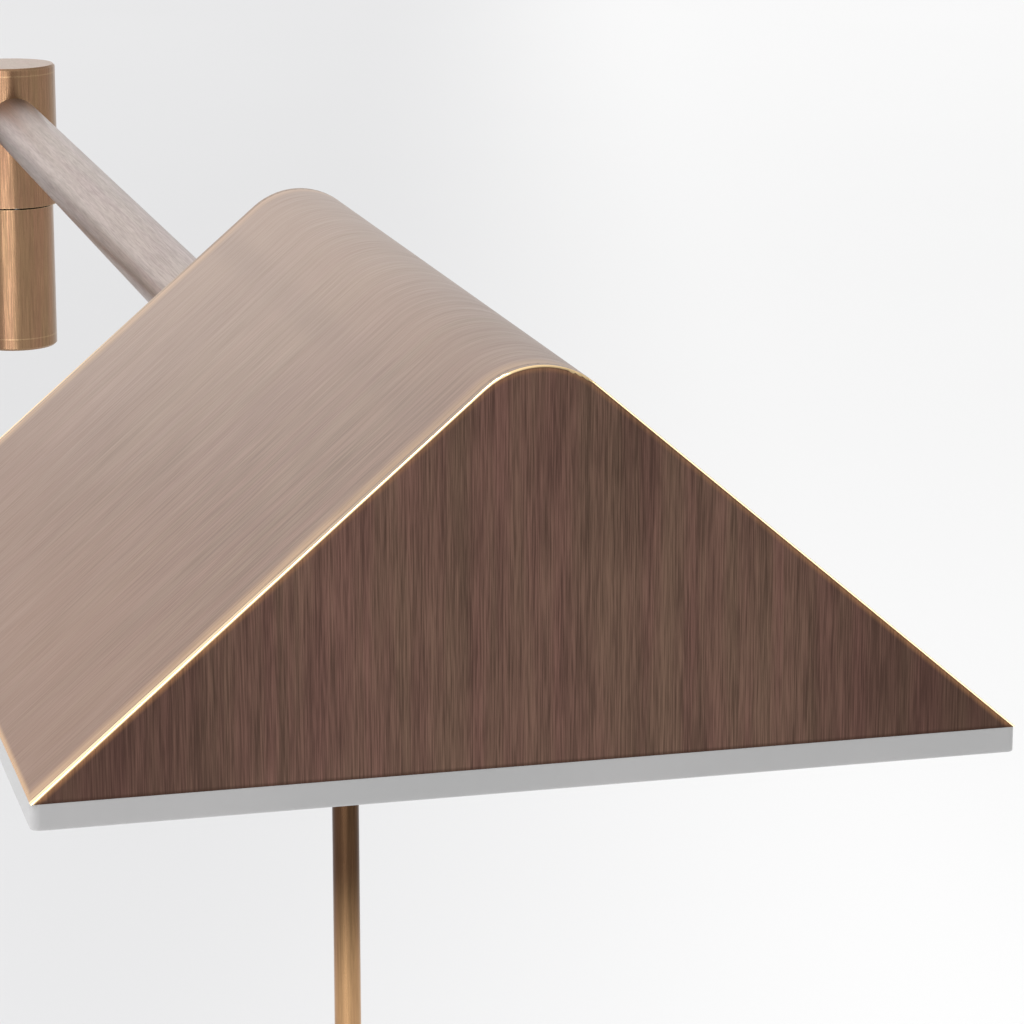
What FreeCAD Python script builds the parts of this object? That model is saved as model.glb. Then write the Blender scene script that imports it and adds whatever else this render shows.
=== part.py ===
import FreeCAD, Part
import os
import re

import Sketcher

# A picture light on a swing arm, for a wall. Its tent-shaped brass head sits in line with a long round arm.
#
# Row frame, millimetres: the wall is the plane Y = 0 and the light stands out from it towards -Y. +Z is up,
# and the origin is the centre of the wall plate's back. The swing hub stands stub_reach in front of the wall.
# At rest the arm is folded along the wall, towards -X.
#
# Three local frames are used, each with the row's axes: "wall" is the row frame, "hub" starts on the hub's
# axis at the stub's height, and "head" starts at the middle of the shade's front base edge, with +X running
# back along the shade to the arm.

SIZES = [
    ("shade_width", 130.0, "shade, outer width at its base"),
    ("shade_length", 150.0, "shade, length along the arm"),
    ("slope_angle", 40.43, "shade, slope of each side above level, degrees"),
    ("fold_radius", 11.15, "shade, outer radius of the fold at the ridge"),
    ("sheet_gauge", 1.0, "shade, thickness of the folded sheet"),
    ("end_gauge", 1.2, "shade, thickness of the end plates"),
    ("edge_round", 0.4, "shade, radius of the end plates' polished edges"),
    ("diffuser_gauge", 3.4, "diffuser, thickness"),
    ("diffuser_corner", 1.2, "diffuser, radius of its upright corners"),
    ("tab_side", 8.0, "corner tab, side"),
    ("tab_height", 5.0, "corner tab, height"),
    ("tab_offset", 48.0, "corner tab, middle from the shade's centre line"),
    ("screw_radius", 1.5, "M3 screws, shank radius"),
    ("screw_socket", 0.93, "diffuser screws, corner radius of the hexagon socket"),
    ("screw_play", 0.15, "diffuser screws, radial play in the diffuser"),
    ("sink_play", 0.1, "diffuser screws, radial play in the countersink"),
    ("screw_spare", 1.0, "diffuser screws, thread left unused in the tab"),
    ("tray_floor", 24.0, "LED tray, height of its underside above the base"),
    ("tray_gauge", 1.5, "LED tray, thickness"),
    ("tray_crest", 40.0, "LED tray, height of the top of its wings"),
    ("tray_start", 8.0, "LED tray, distance from the shade's front"),
    ("tray_length", 123.0, "LED tray, length"),
    ("thermal_gauge", 0.5, "thermal pads, thickness"),
    ("board_start", 16.0, "LED board, distance from the shade's front"),
    ("board_length", 84.0, "LED board, length"),
    ("board_width", 24.0, "LED board, width"),
    ("board_gauge", 1.6, "LED board, thickness"),
    ("board_screw_inset", 4.2, "LED board screws, distance from the board's ends"),
    ("chip_length", 3.0, "LED chip, length"),
    ("chip_width", 2.8, "LED chip, width"),
    ("chip_height", 0.7, "LED chip, height"),
    ("chip_pitch", 8.0, "LED chips, pitch along the board"),
    ("chip_count", 9.0, "LED chips in each of the two rows"),
    ("led_wire_radius", 1.0, "LED wire, radius"),
    ("led_wire_bend", 4.0, "LED wire, bend radius"),
    ("led_wire_across", 5.0, "LED wire, sideways from the centre line"),
    ("led_wire_height", 14.0, "LED wire, level run above the base"),
    ("led_wire_inset", 4.0, "LED wire, distance from the board's rear end"),
    ("rod_back", 118.0, "pull rod, axis behind the shade's front"),
    ("rod_radius", 2.15, "pull rod, radius"),
    ("rod_drop", 138.0, "pull rod, lower end below the base"),
    ("rod_clearance", 0.06, "pull rod, radial running clearance"),
    ("rod_head_radius", 3.8, "pull rod, radius of the collar at its top"),
    ("rod_head_height", 2.0, "pull rod, height of that collar"),
    ("rod_top", 20.0, "pull rod, underside of its collar above the base"),
    ("pull_travel", 6.0, "pull rod, travel"),
    ("edge_ease", 0.5, "turned parts, chamfer on their outer edges"),
    ("knob_radius", 4.6, "pull knob, radius"),
    ("knob_height", 13.0, "pull knob, height"),
    ("knob_foot", 2.5, "pull knob, height of its straight foot"),
    ("knob_top", 3.0, "pull knob, radius at its top"),
    ("switch_side", 22.0, "pull switch, side of its square body"),
    ("switch_floor", 5.0, "pull switch, underside above the base"),
    ("switch_base", 2.5, "pull switch, thickness of the floor under the spring"),
    ("switch_bore", 4.2, "pull switch, bore radius for spring and collar"),
    ("switch_thread", 6.0, "pull switch, depth of its screws"),
    ("switch_screw_inset", 2.8, "pull switch, screws from its sides"),
    ("spring_radius", 3.1, "return spring, mean radius"),
    ("spring_wire", 0.35, "return spring, wire radius"),
    ("spring_turns", 6.0, "return spring, turns"),
    ("bush_flange", 5.2, "rod bush, flange radius"),
    ("bush_neck", 3.6, "rod bush, neck radius"),
    ("bush_flange_gauge", 1.2, "rod bush, flange thickness"),
    ("bush_spare", 3.5, "rod bush, thread above the diffuser"),
    ("bush_nut_corner", 6.0, "rod bush nut, radius over the corners"),
    ("bush_nut_height", 2.5, "rod bush nut, height"),
    ("arm_radius", 6.35, "arm and stub tube, outer radius"),
    ("arm_bore", 5.35, "arm and stub tube, inner radius"),
    ("arm_rise", 15.4, "arm axis above the shade's base"),
    ("nipple_radius", 4.9, "hollow nipples, radius of the threaded end"),
    ("nipple_bore", 3.0, "hollow nipples, bore radius"),
    ("nipple_plug", 15.0, "hollow nipples, length held in the tube"),
    ("nipple_spare", 2.0, "hollow nipples, thread past the nut"),
    ("nut_corner", 8.4, "nipple nuts, radius over the corners"),
    ("nut_height", 5.0, "nipple nuts, height"),
    ("turn_clearance", 0.05, "head swivel and hub, radial running clearance"),
    ("washer_gauge", 0.8, "swivel washers, thickness"),
    ("swivel_flange", 7.8, "swivel bush, flange radius"),
    ("swivel_neck", 6.0, "swivel bush, neck radius"),
    ("stop_disc", 9.0, "stop washer, disc radius"),
    ("stop_reach", 13.0, "stop washer, reach of its tab"),
    ("stop_tab", 4.0, "stop washer, width of its tab"),
    ("stop_gauge", 1.2, "stop washer, thickness"),
    ("wave_radius", 8.0, "swivel spring washer, radius"),
    ("turn_pin_orbit", 11.5, "turn stops, distance from the arm's axis"),
    ("turn_pin_radius", 1.25, "turn stops, radius"),
    ("turn_pin_reach", 3.4, "turn stops, length inside the end plate"),
    ("turn_pin_angle", 107.0, "turn stops, angle from straight up, degrees"),
    ("hub_reach", 520.0, "hub axis behind the shade's front"),
    ("hub_radius", 10.6, "hub, radius of the fixed lower barrel"),
    ("hub_head", 12.0, "hub, radius of the turning upper barrel"),
    ("hub_top", 13.8, "hub, top above the arm's axis"),
    ("hub_drop", 59.2, "hub, bottom below the arm's axis"),
    ("arm_height", 45.0, "arm axis above the stub's axis"),
    ("hub_split", 22.5, "hub, top of the lower barrel above the stub's axis"),
    ("hub_gap", 0.6, "hub, gap between the barrels"),
    ("hub_cavity", 9.5, "hub, radius of the lower barrel's cavity"),
    ("hub_shoulder", 13.5, "hub, top of that cavity above the stub's axis"),
    ("cap_height", 3.0, "hub, thickness of the bottom cap"),
    ("cap_spigot", 4.0, "hub, height of the bottom cap's spigot"),
    ("lid_height", 2.0, "hub, thickness of the top cap"),
    ("lid_spigot", 3.0, "hub, height of the top cap's spigot"),
    ("well_radius", 6.0, "hub, radius of the upper barrel's well"),
    ("well_floor", 34.0, "hub, bottom of that well above the stub's axis"),
    ("spindle_radius", 5.5, "spindle, radius"),
    ("spindle_bottom", 6.5, "spindle, lower end above the stub's axis"),
    ("pivot_bush_radius", 6.9, "pivot bush, outer radius"),
    ("pivot_flange", 9.0, "pivot bush, flange radius"),
    ("pivot_flange_gauge", 1.0, "pivot bush, flange thickness"),
    ("pivot_spring_radius", 8.6, "spring washer, radius"),
    ("friction_radius", 7.4, "friction washer, radius"),
    ("pivot_nut_corner", 8.7, "spindle nut, radius over the corners"),
    ("pivot_nut_height", 4.0, "spindle nut, height"),
    ("spring_washer_gauge", 1.2, "spring washer, thickness"),
    ("stop_orbit", 8.7, "swing stop pin, distance from the hub's axis"),
    ("stop_pin_radius", 0.9, "swing stop pin, radius"),
    ("stop_pin_length", 6.4, "swing stop pin, length"),
    ("stop_pin_drop", 2.4, "swing stop pin, length below the upper barrel"),
    ("swing_angle", 180.0, "swing of the arm, degrees"),
    ("groove_spare", 7.0, "stop groove, angle past the pin's axis at each end"),
    ("groove_side", 1.1, "stop groove, half of its width"),
    ("groove_depth", 2.6, "stop groove, depth"),
    ("stub_reach", 95.0, "hub axis in front of the wall"),
    ("stub_entry", 9.2, "stub tube, end from the hub's axis"),
    ("arm_entry", 7.0, "arm tube, end from the hub's axis"),
    ("lead_radius", 2.0, "flexible lead, radius"),
    ("lead_bend", 8.0, "flexible lead, bend radius in the lower barrel"),
    ("arm_lead_bend", 6.0, "flexible lead, bend radius in the upper barrel"),
    ("lead_offset", 10.0, "flexible lead, in front of the wall behind the canopy"),
    ("canopy_radius", 55.0, "wall canopy, radius"),
    ("canopy_depth", 26.0, "wall canopy, depth"),
    ("canopy_gauge", 1.5, "wall canopy, thickness"),
    ("canopy_round", 7.0, "wall canopy, outer radius of its rounded edge"),
    ("plate_radius", 50.0, "mounting plate, radius"),
    ("plate_gauge", 2.0, "mounting plate, thickness"),
    ("wall_screw_offset", 30.0, "wall screw holes, distance from the centre"),
    ("wall_screw_hole", 2.5, "wall screw holes, radius"),
    ("stud_offset", 42.0, "canopy studs, distance from the centre"),
    ("stud_radius", 2.0, "canopy studs, radius"),
    ("stud_play", 0.2, "canopy studs, radial play in the canopy"),
    ("stud_spare", 3.0, "canopy studs, length in front of the canopy"),
    ("cap_nut_radius", 4.0, "cap nuts, radius"),
    ("cap_nut_height", 4.0, "cap nuts, height of the straight part"),
    ("collar_radius", 10.0, "stub collar, radius"),
    ("collar_height", 6.0, "stub collar, height"),
    ("collar_seat", 2.0, "stub collar, floor under the tube"),
    ("inlet_across", 27.0, "supply inlet, sideways from the centre"),
    ("inlet_up", 27.0, "supply inlet, above the centre"),
    ("inlet_hole", 8.0, "supply inlet, hole radius in the plate"),
    ("inlet_flange", 10.5, "grommet, flange radius"),
    ("inlet_flange_gauge", 2.0, "grommet, flange thickness"),
    ("inlet_bore", 5.0, "grommet, bore radius"),
    ("driver_length", 52.0, "LED driver, length"),
    ("driver_depth", 16.0, "LED driver, depth"),
    ("driver_height", 20.0, "LED driver, height"),
    ("driver_drop", 30.0, "LED driver, middle below the centre"),
    ("driver_screw_offset", 20.0, "LED driver screws, distance from the centre"),
    ("driver_thread", 5.0, "LED driver screws, depth in the driver"),
    ("terminal_length", 28.0, "terminal block, length"),
    ("terminal_depth", 12.0, "terminal block, depth"),
    ("terminal_height", 14.0, "terminal block, height"),
    ("terminal_rise", 25.0, "terminal block, middle above the centre"),
    ("terminal_bore", 2.0, "terminal block, radius of its screw wells"),
    ("terminal_sink", 4.0, "terminal block, depth of its screw wells"),
    ("terminal_pitch", 8.0, "terminal block, screw wells from its middle"),
    ("wire_radius", 1.5, "driver lead, radius"),
    ("wire_across", 10.0, "driver lead, sideways from the centre"),
]

DOC = FreeCAD.newDocument("picture_light")
SHEET = DOC.addObject("Spreadsheet::Sheet", "Sizes")
ALIAS = re.compile(r"\b[a-z]+(?:_[a-z]+)+\b")
NODES = {}

V = FreeCAD.Vector
TURNS = {
    "x": FreeCAD.Rotation(V(0, 1, 0), 90),
    "-x": FreeCAD.Rotation(V(0, 1, 0), -90),
    "y": FreeCAD.Rotation(V(1, 0, 0), -90),
    "-y": FreeCAD.Rotation(V(1, 0, 0), 90),
    "z": FreeCAD.Rotation(),
    "-z": FreeCAD.Rotation(V(1, 0, 0), 180),
}
FRAMES = {
    "wall": ("0", "0", "0"),
    "hub": ("0", "-stub_reach", "0"),
    "head": ("-hub_reach", "-stub_reach", "arm_height - arm_rise"),
}
PRIMITIVES = ("Part::Cylinder", "Part::Box", "Part::Feature")
NEAR = 0.01
HOLLOW_SHARE = 0.1
PAN_HEAD = 1.85
PAN_HEIGHT = 1.1


# Formulas and placing


def formula(text):
    """The text with each name of the sheet written the way an expression needs it."""
    return ALIAS.sub(r"Sizes.\g<0>", text)


def number(text):
    """The value that a formula has now."""
    return float(SHEET.evalExpression(formula(text)))


def bind(obj, **texts):
    """Binds properties to formulas in the sheet's names."""
    for name, text in texts.items():
        obj.setExpression(name, formula(text))


def place(obj, at, along="z"):
    """Turns an object so that its own Z runs along an axis, and binds where it starts."""
    obj.Placement = FreeCAD.Placement(V(), TURNS[along])
    for axis, text in zip("xyz", at):
        bind(obj, **{f"Placement.Base.{axis}": text})


def opposite(direction):
    return direction[1:] if direction.startswith("-") else "-" + direction


def node(obj, name, frame):
    """Registers a finished sub-part and puts it in its frame."""
    if obj.TypeId in PRIMITIVES:
        inner = obj
        obj = DOC.addObject("Part::Compound", name + "_single")
        obj.Links = [inner]
    place(obj, FRAMES[frame])
    obj.Label = name
    NODES[name] = obj
    return obj


# Primitives and booleans, each with its sizes bound to the sheet


def rod(name, radius, length, at=("0", "0", "0"), along="z"):
    obj = DOC.addObject("Part::Cylinder", name)
    place(obj, at, along)
    bind(obj, Radius=radius, Height=length)
    return obj


def cone(name, start_radius, end_radius, length, at, along="z"):
    obj = DOC.addObject("Part::Cone", name)
    place(obj, at, along)
    bind(obj, Radius1=start_radius, Radius2=end_radius, Height=length)
    return obj


def hexagon(name, corner_radius, length, at, along="z"):
    obj = DOC.addObject("Part::Prism", name)
    obj.Polygon = 6
    place(obj, at, along)
    bind(obj, Circumradius=corner_radius, Height=length)
    return obj


def block(name, size, at):
    obj = DOC.addObject("Part::Box", name)
    place(obj, at)
    bind(obj, Length=size[0], Width=size[1], Height=size[2])
    return obj


def fused(name, pieces):
    obj = DOC.addObject("Part::MultiFuse", name)
    obj.Shapes = pieces
    obj.Refine = True
    return obj


def less(name, base, *tools):
    """The base with the tools cut away."""
    obj = DOC.addObject("Part::Cut", name)
    obj.Base = base
    obj.Tool = tools[0] if len(tools) == 1 else fused(name + "_tools", list(tools))
    return obj


def group(name, pieces):
    obj = DOC.addObject("Part::Compound", name + "_group")
    obj.Links = pieces
    return obj


def ring(name, radius, bore, length, at=("0", "0", "0"), along="z"):
    return less(
        name + "_ring",
        rod(name + "_disc", radius, length, at, along),
        rod(name + "_hole", bore, length, at, along),
    )


def pan_screw(name, radius, length, at, along):
    """A pan-head screw whose head seats at the point and whose shank runs along the axis."""
    shank = rod(name + "_shank", radius, length, at, along)
    head = rod(name + "_head", f"{PAN_HEAD} * ({radius})", f"{PAN_HEIGHT} * ({radius})", at, opposite(along))
    return fused(name, [shank, head])


# Sketches


def sketch_on(body, name, role, lift="0"):
    """A sketch on one of the body's own planes, moved along that plane's normal."""
    sketch = body.newObject("Sketcher::SketchObject", name)
    support = next(f for f in body.Origin.OriginFeatures if f.Role == role)
    sketch.AttachmentSupport = [(support, "")]
    sketch.MapMode = "FlatFace"
    bind(sketch, **{"AttachmentOffset.Base.z": lift})
    return sketch


def pin(sketch, curve, end, x, y):
    """Holds one end of a curve at two formulas, measured from the sketch's origin."""
    for kind, text, axis in (("DistanceX", x, -2), ("DistanceY", y, -1)):
        value = number(text)
        if text == "0":
            sketch.addConstraint(Sketcher.Constraint("PointOnObject", curve, end, axis))
        elif value > 0:
            row = sketch.addConstraint(Sketcher.Constraint(kind, -1, 1, curve, end, value))
            bind(sketch, **{f"Constraints[{row}]": text})
        else:
            row = sketch.addConstraint(Sketcher.Constraint(kind, curve, end, -1, 1, -value))
            bind(sketch, **{f"Constraints[{row}]": f"-({text})"})


def outline(sketch, corners):
    """A closed outline of straight sides through corners given as pairs of formulas."""
    spots = [V(number(x), number(y), 0) for x, y in corners]
    sides = [Part.LineSegment(a, b) for a, b in zip(spots, spots[1:] + spots[:1])]
    rows = sketch.addGeometry(sides, False)
    for row, following, corner in zip(rows, rows[1:] + rows[:1], corners):
        sketch.addConstraint(Sketcher.Constraint("Coincident", row, 2, following, 1))
        pin(sketch, row, 1, *corner)


def circle(sketch, x, y, radius):
    middle = V(number(x), number(y), 0)
    row = sketch.addGeometry(Part.Circle(middle, V(0, 0, 1), number(radius)), False)
    pin(sketch, row, 3, x, y)
    limit = sketch.addConstraint(Sketcher.Constraint("Radius", row, number(radius)))
    bind(sketch, **{f"Constraints[{limit}]": radius})


def tent_outline(sketch, inset, floor):
    """The shade's cross-section, inset from its outer skin and cut off level at a height above the base."""
    half = f"(shade_width / 2 - ({inset}) / sin(slope_angle) - ({floor}) / tan(slope_angle))"
    fold = f"(fold_radius - ({inset}))"
    middle = "(shade_width / 2 * tan(slope_angle) - fold_radius / cos(slope_angle))"
    reach = f"{fold} * sin(slope_angle)"
    crest = f"{middle} + {fold} * cos(slope_angle)"
    left, right = V(-number(half), number(floor), 0), V(number(half), number(floor), 0)
    left_top, right_top = V(-number(reach), number(crest), 0), V(number(reach), number(crest), 0)
    top = V(0, number(middle) + number(fold), 0)
    base, right_slope, arc, left_slope = sketch.addGeometry(
        [
            Part.LineSegment(left, right),
            Part.LineSegment(right, right_top),
            Part.Arc(right_top, top, left_top),
            Part.LineSegment(left, left_top),
        ],
        False,
    )
    sketch.addConstraint(
        [
            Sketcher.Constraint("Coincident", base, 2, right_slope, 1),
            Sketcher.Constraint("Coincident", base, 1, left_slope, 1),
            Sketcher.Constraint("Tangent", right_slope, 2, arc, 1),
            Sketcher.Constraint("Tangent", arc, 2, left_slope, 2),
        ]
    )
    pin(sketch, base, 1, f"-{half}", floor)
    pin(sketch, base, 2, half, floor)
    pin(sketch, left_slope, 2, f"-({reach})", crest)
    row = sketch.addConstraint(Sketcher.Constraint("Radius", arc, number(fold)))
    bind(sketch, **{f"Constraints[{row}]": fold})


# PartDesign features


def new_body(name):
    return DOC.addObject("PartDesign::Body", name + "_body")


def pad(body, sketch, length):
    feature = body.newObject("PartDesign::Pad", sketch.Name + "_pad")
    feature.Profile = sketch
    bind(feature, Length=length)
    return feature


def pocket_along(body, sketch):
    """Cuts the sketch's shape through the whole body, along the sketch's own normal."""
    feature = body.newObject("PartDesign::Pocket", sketch.Name + "_pocket")
    feature.Profile = sketch
    feature.Type = "ThroughAll"
    feature.Reversed = True
    return feature


def round_edges(body, name, edges, radius):
    base = body.Tip
    feature = body.newObject("PartDesign::Fillet", name)
    feature.Base = (base, edges)
    bind(feature, Radius=radius)
    DOC.recompute()


def revolve(body, sketch):
    feature = body.newObject("PartDesign::Revolution", sketch.Name + "_turned")
    feature.Profile = sketch
    feature.ReferenceAxis = (sketch, ["V_Axis"])
    feature.Angle = 360
    return feature


def tent(name, inset, floor, start, length):
    """A solid prism with the shade's cross-section, in the head's frame."""
    body = new_body(name)
    sketch = sketch_on(body, name + "_outline", "YZ_Plane", start)
    tent_outline(sketch, inset, floor)
    pad(body, sketch, length)
    return body


def lead(name, radius, points, bend):
    """A round lead along straight runs through points in the row's axes, with an arc at each inner point."""
    edges = []
    start = points[0]
    for before, corner, after in zip(points, points[1:], points[2:]):
        back = (before - corner).normalize()
        ahead = (after - corner).normalize()
        enter, leave = corner + back * bend, corner + ahead * bend
        centre = enter + ahead * bend
        middle = centre + (corner - centre).normalize() * bend
        edges.append(Part.LineSegment(start, enter).toShape())
        edges.append(Part.Arc(enter, middle, leave).toShape())
        start = leave
    if (points[-1] - start).Length > NEAR:
        edges.append(Part.LineSegment(start, points[-1]).toShape())
    direction = points[1] - points[0]
    section = Part.Wire(Part.Circle(points[0], direction, radius).toShape())
    obj = DOC.addObject("Part::Feature", name + "_sweep")
    obj.Shape = Part.Wire(edges).makePipeShell([section], True, False)
    return obj


# The head: shade, light source and diffuser


def build_shade():
    """A folded roof sheet between two end plates that reach out to its outer skin."""
    body = new_body("roof_shell")
    outer = sketch_on(body, "roof_outer", "YZ_Plane", "end_gauge")
    tent_outline(outer, "0", "0")
    pad(body, outer, "shade_length - 2 * end_gauge")
    DOC.recompute()
    solid = body.Shape.Volume
    inner = sketch_on(body, "roof_inner", "YZ_Plane", "end_gauge")
    tent_outline(inner, "sheet_gauge", "0")
    pocket_along(body, inner)
    DOC.recompute()
    if body.Shape.Volume > HOLLOW_SHARE * solid:
        raise RuntimeError("the roof is not hollow")
    node(body, "roof_shell", "head")
    front = end_plate("front_blank", "0", "0")
    node(front, "front_end_plate", "head")
    rear = end_plate("rear_blank", "shade_length - end_gauge", "shade_length")
    inside = "shade_length - end_gauge"
    hole = rod("rear_hole", "swivel_neck", "end_gauge", (inside, "0", "arm_rise"), "x")
    pins = [
        rod(f"rear_pin_hole_{side}", "turn_pin_radius", "end_gauge", stop_spot(side, inside), "x")
        for side in (-1, 1)
    ]
    node(less("rear_cut", rear, hole, *pins), "rear_end_plate", "head")


def end_plate(name, start, face):
    """An end plate whose outer face stands at a distance from the front and has its slopes' edges rounded."""
    body = tent(name, "0", "0", start, "end_gauge")
    DOC.recompute()
    rim = [
        f"Edge{i}"
        for i, edge in enumerate(body.Shape.Edges, start=1)
        if all(abs(end.X - number(face)) < NEAR for end in edge.Vertexes)
        and any(end.Z > NEAR for end in edge.Vertexes)
    ]
    round_edges(body, name + "_rim", rim, "edge_round")
    return body


def stop_spot(side, start):
    """Where a turn stop stands on the rear end plate."""
    return (
        start,
        f"{side} * turn_pin_orbit * sin(turn_pin_angle)",
        "arm_rise + turn_pin_orbit * cos(turn_pin_angle)",
    )


def tab_spots():
    """The four corners' tabs: distance from the front and from the centre line, as formulas."""
    along = ("end_gauge + tab_side / 2", "shade_length - end_gauge - tab_side / 2")
    return [(x, f"{side} * tab_offset") for x in along for side in (-1, 1)]


def build_diffuser():
    body = new_body("diffuser")
    plate = sketch_on(body, "diffuser_plate", "XY_Plane", "-diffuser_gauge")
    near, far, left, right = "0", "shade_length", "-shade_width / 2", "shade_width / 2"
    outline(plate, [(near, left), (far, left), (far, right), (near, right)])
    pad(body, plate, "diffuser_gauge")
    DOC.recompute()
    corners = [
        f"Edge{i}"
        for i, edge in enumerate(body.Shape.Edges, start=1)
        if abs(edge.Vertexes[0].Z - edge.Vertexes[-1].Z) > NEAR
    ]
    round_edges(body, "diffuser_rounds", corners, "diffuser_corner")
    holes = sketch_on(body, "diffuser_holes", "XY_Plane", "-diffuser_gauge")
    circle(holes, "rod_back", "0", "bush_neck")
    for x, y in tab_spots():
        circle(holes, x, y, "screw_radius + screw_play")
    pocket_along(body, holes)
    wide, narrow = "2 * screw_radius + sink_play", "screw_radius + sink_play"
    sinks = [
        cone(f"sink_{i}", wide, narrow, "screw_radius", (x, y, "-diffuser_gauge"))
        for i, (x, y) in enumerate(tab_spots())
    ]
    node(less("diffuser_sunk", body, *sinks), "diffuser", "head")


def build_fixings():
    tabs, screws = [], []
    for i, (x, y) in enumerate(tab_spots()):
        corner = (f"{x} - tab_side / 2", f"{y} - tab_side / 2", "0")
        base = block(f"tab_{i}", ("tab_side", "tab_side", "tab_height"), corner)
        hole = rod(f"tab_hole_{i}", "screw_radius", "tab_height", (x, y, "0"))
        tabs.append(less(f"tab_tapped_{i}", base, hole))
        seat = (x, y, "-diffuser_gauge")
        head = cone(f"csk_head_{i}", "2 * screw_radius", "screw_radius", "screw_radius", seat)
        shank = rod(f"csk_shank_{i}", "screw_radius", "diffuser_gauge + tab_height - screw_spare", seat)
        socket = hexagon(f"csk_socket_{i}", "screw_socket", "screw_radius", seat)
        screws.append(less(f"csk_{i}", fused(f"csk_blank_{i}", [head, shank]), socket))
    node(group("corner_tabs", tabs), "corner_tabs", "head")
    node(group("diffuser_screws", screws), "diffuser_screws", "head")


def board_holes(name, depth, bottom):
    """The holes for the two screws at the LED board's ends, through whatever lies over that height."""
    return [
        rod(f"{name}_{i}", "screw_radius", depth, (x, "0", bottom))
        for i, x in enumerate(board_screw_spots())
    ]


def board_screw_spots():
    return ["board_start + board_screw_inset", "board_start + board_length - board_screw_inset"]


def above_crest(name):
    """The room above the LED tray's wings."""
    return block(name, ("shade_length", "shade_width", "shade_width"), ("0", "-shade_width / 2", "tray_crest"))


def build_light_source():
    skin = "sheet_gauge + thermal_gauge"
    before, beyond = "tray_start - tray_gauge", "tray_length + 2 * tray_gauge"
    full = tent("tray_full", skin, "tray_floor", "tray_start", "tray_length")
    room = tent("tray_room", f"{skin} + tray_gauge", "tray_floor + tray_gauge", before, beyond)
    holes = board_holes("tray_hole", "tray_gauge", "tray_floor")
    holes += [
        rod(f"tray_switch_hole_{side}", "screw_radius", "tray_gauge", switch_screw_spot(side, "tray_floor"))
        for side in (-1, 1)
    ]
    node(less("tray_cut", full, room, above_crest("tray_top_cut"), *holes), "led_tray", "head")
    outer = tent("pads_full", "sheet_gauge", "tray_floor", "tray_start", "tray_length")
    inner = tent("pads_room", skin, "tray_floor - tray_gauge", before, beyond)
    node(less("pads_cut", outer, inner, above_crest("pads_top_cut")), "thermal_pads", "head")
    corner = ("board_start", "-board_width / 2", "tray_floor - board_gauge")
    board = block("board_blank", ("board_length", "board_width", "board_gauge"), corner)
    drilled = board_holes("board_hole", "board_gauge", "tray_floor - board_gauge")
    node(less("board_cut", board, *drilled), "led_board", "head")
    screws = [
        pan_screw(
            f"board_screw_{i}",
            "screw_radius",
            "board_gauge + 2 * tray_gauge",
            (x, "0", "tray_floor - board_gauge"),
            "z",
        )
        for i, x in enumerate(board_screw_spots())
    ]
    node(group("board_screws", screws), "board_screws", "head")
    size = ("chip_length", "chip_width", "chip_height")
    first = "board_start + (board_length - (chip_count - 1) * chip_pitch - chip_length) / 2"
    chips = []
    for step in range(int(number("chip_count"))):
        for side in (-1, 1):
            spot = (
                f"{first} + {step} * chip_pitch",
                f"{side} * board_width / 4 - chip_width / 2",
                "tray_floor - board_gauge - chip_height",
            )
            chips.append(block(f"chip_{step}_{side}", size, spot))
    node(group("led_chips", chips), "led_chips", "head")


# The pull switch and its rod


def switch_screw_spot(side, height):
    return ("rod_back", f"{side} * (switch_side / 2 - switch_screw_inset)", height)


def build_switch():
    corner = ("rod_back - switch_side / 2", "-switch_side / 2", "switch_floor")
    height = "tray_floor - switch_floor"
    shell = block("switch_shell", ("switch_side", "switch_side", height), corner)
    floor = "switch_floor + switch_base"
    well = rod("switch_well", "switch_bore", f"tray_floor - ({floor})", ("rod_back", "0", floor))
    throat = rod("switch_throat", "rod_radius + rod_clearance", height, ("rod_back", "0", "switch_floor"))
    taps, screws = [], []
    for side in (-1, 1):
        tap_at = switch_screw_spot(side, "tray_floor - switch_thread")
        taps.append(rod(f"switch_tap_{side}", "screw_radius", "switch_thread", tap_at))
        seat = switch_screw_spot(side, "tray_floor + tray_gauge")
        screws.append(pan_screw(f"switch_screw_{side}", "screw_radius", "switch_thread", seat, "-z"))
    node(less("switch_cut", shell, well, throat, *taps), "switch_body", "head")
    node(group("switch_screws", screws), "switch_screws", "head")
    under = ("rod_back", "0", "-diffuser_gauge - bush_flange_gauge")
    neck_length = "diffuser_gauge + bush_flange_gauge + bush_spare"
    flange = rod("bush_flange_disc", "bush_flange", "bush_flange_gauge", under)
    neck = rod("bush_neck_rod", "bush_neck", neck_length, under)
    throat = rod("bush_throat", "rod_radius + rod_clearance", neck_length, under)
    node(less("bush_cut", fused("bush_blank", [flange, neck]), throat), "rod_bush", "head")
    above = ("rod_back", "0", "0")
    nut = hexagon("bush_nut_hex", "bush_nut_corner", "bush_nut_height", above)
    bore = rod("bush_nut_bore", "bush_neck", "bush_nut_height", above)
    node(less("bush_nut_cut", nut, bore), "rod_bush_nut", "head")


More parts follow.
